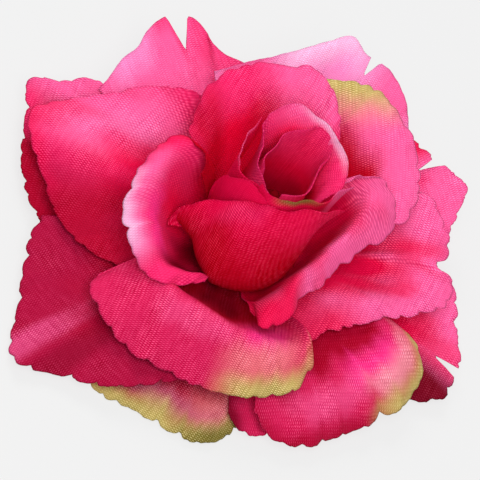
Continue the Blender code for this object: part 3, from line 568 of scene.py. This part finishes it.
def scallop_dip(seed, rim_length, settings):
    """How much the cut edge dips between its scallops, in millimetres."""
    pitch = settings.scallop_pitch / MM
    drift = SCALLOP_DRIFT * rim_noise(seed, rim_length, SCALLOP_DRIFT_LENGTH, 0.0)
    lobes = np.abs(np.sin(np.pi * (rim_length / pitch + drift))) ** SCALLOP_SHAPE
    variety = rim_noise(seed + 1, rim_length, SCALLOP_VARIETY_LENGTH, 0.3)
    depth = settings.scallop_depth / MM * (1.0 + SCALLOP_VARIETY * variety)
    fray = FRAY_DEPTH * rim_noise(seed + 2, rim_length, FRAY_LENGTH, 0.1, FRAY_WAVES)
    return np.clip(depth, SHALLOWEST_SCALLOP, None) * (1 - lobes) + fray


def surface_normals(points):
    """Unit normals of a grid of points."""
    down = np.gradient(points, axis=0)
    out = np.gradient(points, axis=1)
    normal = np.cross(down, out)
    never_zero = 1e-12
    return normal / (np.linalg.norm(normal, axis=-1, keepdims=True) + never_zero)


def even_stations(petal, pitch):
    """Stations across, close enough for the mesh pitch and even along the rim."""
    dense = np.linspace(0.0, 1.0, MEASURED_STATIONS)
    heading, reach, height, _ = outline_curve(petal["outline"], dense)
    rim = np.column_stack([reach * np.cos(heading), reach * np.sin(heading), height])
    walked = lengths_along(rim[None])[0]
    count = max(FEWEST_LINES, int(walked[-1] / pitch))
    return np.interp(np.linspace(0, walked[-1], count + 1), walked, dense)


class Spots(NamedTuple):
    """Where a petal's mesh points lie on its cloth, in millimetres but for two fields.

    `heading` is in radians, one for each column of points, and `along` is each point's share of
    the way from the claw to the rim.
    """

    heading: np.ndarray
    across: np.ndarray
    from_claw: np.ndarray
    from_rim: np.ndarray
    along: np.ndarray


def petal_sheet(name, petal, settings, dyes):
    """Points of the cloth's middle in millimetres, its flat coordinates and its dye with painted
    light and shade.
    """
    seed = sum(ord(letter) for letter in name)
    pitch = settings.station_pitch / MM
    across = even_stations(petal, pitch)
    heading, curve = claw_to_rim_profiles(petal, across)
    walked = lengths_along(curve)
    rim = np.column_stack([curve[:, -1, 0] * np.cos(heading), curve[:, -1, 0] * np.sin(heading),
                           curve[:, -1, 1]])
    rim_length = lengths_along(rim[None])[0]
    full = walked[:, -1]
    length = full - notch_depth(petal, heading, curve[:, -1, 0])
    length -= petal.get("scallop", 1.0) * scallop_dip(seed, rim_length, settings)
    rows = max(FEWEST_LINES, int(full.max() / pitch))
    from_claw = np.linspace(0.0, 1.0, rows + 1)[None, :] * length[:, None]
    reach = np.empty_like(from_claw)
    height = np.empty_like(from_claw)
    for column in range(len(across)):
        reach[column] = np.interp(from_claw[column], walked[column], curve[column, :, 0])
        height[column] = np.interp(from_claw[column], walked[column], curve[column, :, 1])
    points = np.stack([reach * np.cos(heading)[:, None], reach * np.sin(heading)[:, None], height],
                      axis=-1)
    spots = Spots(heading, np.broadcast_to(rim_length[:, None], reach.shape), from_claw,
                  length[:, None] - from_claw, from_claw / length[:, None])
    points += surface_normals(points) * relief(seed, petal, settings, spots)[..., None]
    flat = flat_coordinates(heading, reach, from_claw, np.radians(petal["grain"]))
    return points, flat, cloth_dye(seed, petal, dyes, spots)


def relief(seed, petal, settings, spots):
    """Height of ripples, buckles and folds off the smooth petal, in millimetres."""
    ripple = settings.ripple / MM * cloth_noise(seed + 3, spots, RIPPLE_LENGTHS)
    ripple *= np.exp(-spots.from_rim / RIPPLE_REACH)
    flutter = FLUTTER_HEIGHT * cloth_noise(seed + 4, spots, FLUTTER_LENGTHS)
    flutter *= np.exp(-spots.from_rim / FLUTTER_REACH)
    buckle = BUCKLE_HEIGHT * cloth_noise(seed + 5, spots, BUCKLE_LENGTHS)
    buckle *= smooth_step(*BUCKLE_SPAN, spots.along)
    total = ripple + flutter + buckle
    for middle, half_width, height, start in petal.get("folds", ()):
        away = (spots.heading[:, None] - np.radians(middle)) * spots.from_claw
        fold = height * np.exp(-(away / half_width) ** 2)
        total += fold * smooth_step(start, 1.0, spots.along)
    return total


def flat_coordinates(heading, reach, from_claw, grain):
    """Where each point lay in the flat cloth, in metres along its threads: cones laid flat."""
    turn = (heading - heading.mean())[:, None]
    spread = np.clip(reach / (from_claw + CONE_TIP), NARROWEST_CONE, 1.0)
    across = reach * np.sin(spread * turn) / spread
    outward = from_claw * np.cos(spread * turn)
    return np.stack([across * np.cos(grain) - outward * np.sin(grain),
                     across * np.sin(grain) + outward * np.cos(grain)], axis=-1) * MM


def towards(dye, dyes, colour, share):
    """A colour turned towards another one by a share at each point."""
    share = share[..., None]
    return dye * (1 - share) + np.array(getattr(dyes, colour)) * share


def cloth_dye(seed, petal, dyes, spots):
    """Linear RGB of the dye with its painted light and shade over the petal, and a share of its
    weave's strength as alpha.
    """
    claw, middle, rim, middle_at, rim_at = petal["dyes"]
    drift = DRIFT * cloth_noise(seed + 6, spots, DRIFT_LENGTHS)
    dye = np.array(getattr(dyes, claw))
    dye = towards(dye, dyes, middle, smooth_step(0.0, middle_at, spots.along + drift))
    dye = towards(dye, dyes, rim, smooth_step(middle_at, rim_at, spots.along + drift))
    # Besides other dyes, these patches paint highlights and shade onto the cloth.
    for at, half_width, middle_in, half_depth, colour, strength in petal.get("tints", ()):
        aside = np.abs(np.degrees(spots.heading) - at) / half_width
        deep = np.abs(spots.from_rim - middle_in) / half_depth + TINT_DRIFT * drift
        side = 1 - smooth_step(TINT_CORE, 1.0, aside)
        near = 1 - smooth_step(TINT_CORE_DEPTH, 1.0, deep)
        dye = towards(dye, dyes, colour, strength * side[:, None] * near)
    if "first_edge" in petal:
        colour, width = petal["first_edge"]
        dye = towards(dye, dyes, colour, 1 - smooth_step(EDGE_CORE * width, width, spots.across))
    dye *= 1 - SINGE * np.exp(-(spots.from_rim / SINGE_WIDTH) ** 2)[..., None]
    patchy = 1 + PATCHINESS * cloth_noise(seed + 7, spots, PATCH_LENGTHS)
    lightness = smooth_step(0.0, LIGHT_DYE_GREEN, dye[..., 1])
    patchy *= WEAVE_ON_DARK + (1 - WEAVE_ON_DARK) * lightness
    return np.clip(np.dstack([dye, petal["weave"] * patchy * WEAVE_IN_ALPHA]), 0.0, 1.0)


def add_object(name, mesh):
    """Link a mesh to the scene as a smooth-shaded object."""
    mesh.shade_smooth()
    item = bpy.data.objects.new(name, mesh)
    bpy.context.scene.collection.objects.link(item)
    return item


def cloth_object(name, points, flat, dye, settings):
    """A grid of cloth bent to its points, with its flat coordinates and its dye with painted light
    and shade kept on it.
    """
    columns, rows = points.shape[:2]
    sheet = bmesh.new()
    bmesh.ops.create_grid(sheet, x_segments=columns - 1, y_segments=rows - 1, size=0.5)
    mesh = bpy.data.meshes.new(name)
    sheet.to_mesh(mesh)
    sheet.free()
    place = np.empty(len(mesh.vertices) * 3)
    mesh.vertices.foreach_get("co", place)
    place = place.reshape(-1, 3)
    column = np.rint((place[:, 0] + 0.5) * (columns - 1)).astype(int)
    row = np.rint((place[:, 1] + 0.5) * (rows - 1)).astype(int)
    mesh.vertices.foreach_set("co", (points[column, row] * MM).ravel())
    colours = mesh.attributes.new("dye", 'FLOAT_COLOR', 'POINT')
    colours.data.foreach_set("color", dye[column, row].ravel())
    layer = mesh.uv_layers.new(name="flat_cloth")
    corner = np.empty(len(mesh.loops), dtype=int)
    mesh.loops.foreach_get("vertex_index", corner)
    layer.data.foreach_set("uv", flat[column, row][corner].ravel())
    mesh.update()
    item = add_object(name, mesh)
    thicken = item.modifiers.new("Cloth thickness", 'SOLIDIFY')
    thicken.thickness = settings.thickness
    thicken.offset = 0.0
    return item


def new_material(name):
    """An empty material, and a function that adds a node and links what is joined to it."""
    material = bpy.data.materials.new(name)
    material.use_nodes = True
    tree = material.node_tree
    tree.nodes.clear()

    def make(kind, values=None, joined=None, **attributes):
        node = tree.nodes.new(kind)
        for key, value in attributes.items():
            setattr(node, key, value)
        for key, value in (values or {}).items():
            node.inputs[key].default_value = value
        for key, source in (joined or {}).items():
            tree.links.new(source, node.inputs[key])
        return node

    return material, make


def woven_cloth(settings):
    """Dyed plain-weave polyester: thick threads crossed by thin ones, and some light through,
    with the lamps' glints on the threads painted into the colour as highlights.
    """
    material, make = new_material("dyed_woven_cloth")
    dye = make('ShaderNodeAttribute', attribute_name="dye")
    flat = make('ShaderNodeUVMap', uv_map="flat_cloth")

    def maths(operation, values=None, joined=None):
        return make('ShaderNodeMath', values, joined, operation=operation).outputs[0]

    def vector_maths(operation, values=None, joined=None):
        return make('ShaderNodeVectorMath', values, joined, operation=operation).outputs[0]

    def thread(axis, pitch):
        phase = maths('MULTIPLY', {1: np.pi / pitch}, {0: axes.outputs[axis]})
        return maths('SINE', None, {0: phase})

    def drawn_out_noise(scale, values):
        place = make('ShaderNodeMapping', {"Scale": scale}, {"Vector": flat.outputs["UV"]})
        noise = make('ShaderNodeTexNoise', {"Scale": 1.0, **values}, {"Vector": place.outputs[0]},
                     noise_dimensions='2D')
        return noise.outputs["Fac"]

    shift = make('ShaderNodeTexNoise', {"Scale": 650.0, "Detail": 2.0},
                 {"Vector": flat.outputs["UV"]}, noise_dimensions='2D')
    waver = vector_maths('MULTIPLY', {1: STRAY}, {0: shift.outputs["Color"]})
    strayed = vector_maths('ADD', None, {0: flat.outputs["UV"], 1: waver})
    axes = make('ShaderNodeSeparateXYZ', None, {0: strayed})
    # The ribs' crowns and the crossings make painted highlights, glints of the lamps on the
    # threads.
    rib = thread("X", settings.rib_pitch)
    over = maths('MULTIPLY', None, {0: rib, 1: thread("Y", settings.thread_pitch)})
    crown = maths('MULTIPLY', None, {0: rib, 1: maths('MULTIPLY', {1: RIB_TONE}, {0: rib})})
    raised = maths('MULTIPLY_ADD', {1: CROSSING_TONE}, {0: over, 2: crown})
    streak = drawn_out_noise((1600.0, 220.0, 1.0), {"Detail": 3.0, "Roughness": 0.6})
    uneven = maths('MULTIPLY_ADD', {1: STREAK_TONE}, {0: streak, 2: raised})
    slub = drawn_out_noise((900.0, 600.0, 1.0), {"Detail": 1.0})
    slubbed = maths('MULTIPLY_ADD', {1: SLUB_TONE}, {0: slub, 2: uneven})
    centred = maths('SUBTRACT', {1: MEAN_TONE}, {0: slubbed})
    share = settings.weave_tone_and_glint / WEAVE_IN_ALPHA
    strength = maths('MULTIPLY', {1: share}, {0: dye.outputs["Alpha"]})
    tone = maths('MULTIPLY', None, {0: centred, 1: strength})
    seen = make('ShaderNodeGamma', {"Gamma": 1 / EYE_GAMMA}, {"Color": dye.outputs["Color"]})
    lit = vector_maths('ADD', None, {0: seen.outputs[0], 1: tone})
    kept = vector_maths('MAXIMUM', {1: (0.0, 0.0, 0.0)}, {0: lit})
    colour = make('ShaderNodeGamma', {"Gamma": EYE_GAMMA}, {"Color": kept}).outputs[0]
    bump = make('ShaderNodeBump', {"Strength": 0.20, "Distance": 0.00010}, {"Height": raised})
    cloth = make('ShaderNodeBsdfPrincipled',
                 {"Roughness": 0.50, "Specular IOR Level": 0.05,
                  "Specular Tint": (1.0, 0.30, 0.50, 1.0)},
                 {"Base Color": colour, "Normal": bump.outputs[0]})
    through = make('ShaderNodeBsdfTranslucent', None, {"Color": colour})
    mixed = make('ShaderNodeMixShader', {0: LIGHT_THROUGH},
                 {1: cloth.outputs[0], 2: through.outputs[0]})
    make('ShaderNodeOutputMaterial', None, {"Surface": mixed.outputs[0]})
    return material


def moulded_plastic(name, colour, roughness):
    """Plain moulded plastic with a faint grain."""
    material, make = new_material(name)
    place = make('ShaderNodeTexCoord')
    noise = make('ShaderNodeTexNoise', {"Scale": 900.0, "Detail": 3.0},
                 {"Vector": place.outputs["Object"]})
    grain = noise.outputs["Fac"]
    tone = make('ShaderNodeMapRange', {"To Min": 0.88, "To Max": 1.10}, {"Value": grain})
    tinted = make('ShaderNodeVectorMath', {0: colour}, {1: tone.outputs["Result"]},
                  operation='MULTIPLY')
    bump = make('ShaderNodeBump', {"Strength": 0.2, "Distance": 0.0001}, {"Height": grain})
    plastic = make('ShaderNodeBsdfPrincipled',
                   {"Roughness": roughness, "Specular IOR Level": 0.05},
                   {"Base Color": tinted.outputs[0], "Normal": bump.outputs[0]})
    make('ShaderNodeOutputMaterial', None, {"Surface": plastic.outputs[0]})
    return material


def add_petal(context, name):
    """Make one petal of finished cloth, which stands for its CAD solid."""
    settings = context.scene.rose_cloth
    petal = PETALS[name]
    points, flat, dye = petal_sheet(name, petal, settings, context.scene.rose_dyes)
    item = cloth_object("cloth_" + name, points, flat, dye, settings)
    material = bpy.data.materials.get("dyed_woven_cloth") or woven_cloth(settings)
    item.data.materials.append(material)
    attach(item, "root")
    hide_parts("petal_" + name)


class PetalWhorl:
    """What the operators that make a whorl of petals share."""

    bl_options = {'REGISTER', 'UNDO'}
    prefix = ""

    def execute(self, context):
        for name in PETALS:
            if name.startswith(self.prefix):
                add_petal(context, name)
        return {'FINISHED'}


class ROSE_OT_bud(PetalWhorl, bpy.types.Operator):
    """Make the rolled petals of the bud."""

    bl_idname = "rose.bud"
    bl_label = "Bud Petals"
    prefix = "bud_"


class ROSE_OT_inner_whorl(PetalWhorl, bpy.types.Operator):
    """Make the petals that stand around the bud."""

    bl_idname = "rose.inner_whorl"
    bl_label = "Inner Petals"
    prefix = "inner_"


class ROSE_OT_middle_whorl(PetalWhorl, bpy.types.Operator):
    """Make the half-open petals."""

    bl_idname = "rose.middle_whorl"
    bl_label = "Middle Petals"
    prefix = "middle_"


class ROSE_OT_outer_whorl(PetalWhorl, bpy.types.Operator):
    """Make the petals that lie open."""

    bl_idname = "rose.outer_whorl"
    bl_label = "Outer Petals"
    prefix = "outer_"


class ROSE_OT_moulded_pieces(bpy.types.Operator):
    """Give the cap, the peg and the core their plastic."""

    bl_idname = "rose.moulded_pieces"
    bl_label = "Moulded Pieces"
    bl_options = {'REGISTER', 'UNDO'}

    def execute(self, context):
        colours = context.scene.rose_plastic
        finishes = {
            "base_cap": moulded_plastic("cap_green_plastic", colours.cap, roughness=0.5),
            "centre_peg": moulded_plastic("peg_milky_plastic", colours.peg, roughness=0.45),
            # The core's colour is painted shade.
            "bud_core": moulded_plastic("core_plastic_painted_shade", colours.core, roughness=0.9),
        }
        for node, material in finishes.items():
            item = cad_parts[node]
            item.data.materials.clear()
            item.data.materials.append(material)
        return {'FINISHED'}


def aim(item, place, target, roll=0.0):
    """Stand a lamp or the camera at a place, looking at a target, rolled about its view."""
    direction = (Vector(target) - Vector(place)).normalized()
    turn = direction.to_track_quat('-Z', 'Y').to_matrix().to_4x4()
    item.matrix_world = Matrix.Translation(place) @ turn @ Matrix.Rotation(roll, 4, 'Z')


def add_lamp(name, place, size, power):
    """A round soft lamp over the rose."""
    lamp = bpy.data.lights.new(name, 'AREA')
    lamp.shape = 'DISK'
    lamp.size = size
    lamp.energy = power
    item = bpy.data.objects.new(name, lamp)
    bpy.context.scene.collection.objects.link(item)
    aim(item, place, LAMP_TARGET)


class ROSE_OT_studio(bpy.types.Operator):
    """Make the floor, the lamps, the sky and the camera."""

    bl_idname = "rose.studio"
    bl_label = "Studio"
    bl_options = {'REGISTER', 'UNDO'}

    def execute(self, context):
        settings = context.scene.rose_studio
        self.add_floor(settings)
        self.add_light(context, settings)
        self.add_camera(context)
        context.scene.view_settings.view_transform = 'Standard'
        return {'FINISHED'}

    def add_floor(self, settings):
        floor = bmesh.new()
        bmesh.ops.create_grid(floor, x_segments=1, y_segments=1, size=3.0)
        mesh = bpy.data.meshes.new("floor")
        floor.to_mesh(mesh)
        floor.free()
        item = add_object("floor", mesh)
        material, make = new_material("pale_floor")
        colour = (*settings.floor, 1.0)
        glow = make('ShaderNodeEmission', {"Color": colour, "Strength": FLOOR_GLOW})
        matt = make('ShaderNodeBsdfDiffuse', {"Color": colour})
        mixed = make('ShaderNodeMixShader', {0: FLOOR_SHADE},
                     {1: glow.outputs[0], 2: matt.outputs[0]})
        make('ShaderNodeOutputMaterial', None, {"Surface": mixed.outputs[0]})
        item.data.materials.append(material)

    def add_light(self, context, settings):
        add_lamp("overhead_lamp", place=(0.04, -0.26, 0.55), size=0.45, power=settings.key_power)
        add_lamp("back_lamp", place=(-0.30, 0.30, 0.45), size=0.30, power=settings.fill_power)
        world = bpy.data.worlds.new("plain_sky")
        context.scene.world = world
        world.use_nodes = True
        sky = world.node_tree.nodes["Background"]
        sky.inputs["Color"].default_value = (1.0, 1.0, 1.0, 1.0)
        sky.inputs["Strength"].default_value = SKY_LIGHT

    def add_camera(self, context):
        camera = bpy.data.cameras.new("camera")
        camera.lens = CAMERA_LENS
        camera.sensor_width = CAMERA_SENSOR
        camera.clip_start = 0.01
        item = bpy.data.objects.new("camera", camera)
        context.scene.collection.objects.link(item)
        elevation = np.radians(CAMERA_ELEVATION)
        target = Vector(CAMERA_TARGET)
        away = Vector((0.0, -np.cos(elevation), np.sin(elevation)))
        aim(item, target + CAMERA_DISTANCE * away, target, np.radians(CAMERA_ROLL))
        context.scene.camera = item


class ROSE_PT_panel(bpy.types.Panel):
    """The rose's operators, colours and sizes."""

    bl_label = "Cloth Rose Head"
    bl_idname = "ROSE_PT_panel"
    bl_space_type = 'VIEW_3D'
    bl_region_type = 'UI'
    bl_category = "Rose"

    def draw(self, context):
        for operator in OPERATORS:
            self.layout.operator(operator.bl_idname)
        for name in SETTINGS:
            group = getattr(context.scene, name)
            for key in group.__annotations__:
                self.layout.prop(group, key)


OPERATORS = (ROSE_OT_moulded_pieces, ROSE_OT_bud, ROSE_OT_inner_whorl, ROSE_OT_middle_whorl,
             ROSE_OT_outer_whorl, ROSE_OT_studio)
SETTINGS = {
    "rose_dyes": RoseDyeAndPaintedLightSettings,
    "rose_cloth": RoseClothSettings,
    "rose_plastic": RosePlasticSettings,
    "rose_studio": RoseStudioSettings,
}
CLASSES = (*SETTINGS.values(), *OPERATORS, ROSE_PT_panel)


def register():
    """Register the classes and hang the settings on the scene."""
    for item in CLASSES:
        bpy.utils.register_class(item)
    for name, group in SETTINGS.items():
        setattr(bpy.types.Scene, name, PointerProperty(type=group))


def unregister():
    """Undo what register does."""
    for name in SETTINGS:
        delattr(bpy.types.Scene, name)
    for item in reversed(CLASSES):
        bpy.utils.unregister_class(item)


def main():
    """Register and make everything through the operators."""
    register()
    bpy.ops.rose.moulded_pieces()
    bpy.ops.rose.bud()
    bpy.ops.rose.inner_whorl()
    bpy.ops.rose.middle_whorl()
    bpy.ops.rose.outer_whorl()
    bpy.ops.rose.studio()


if __name__ == "__main__":
    main()
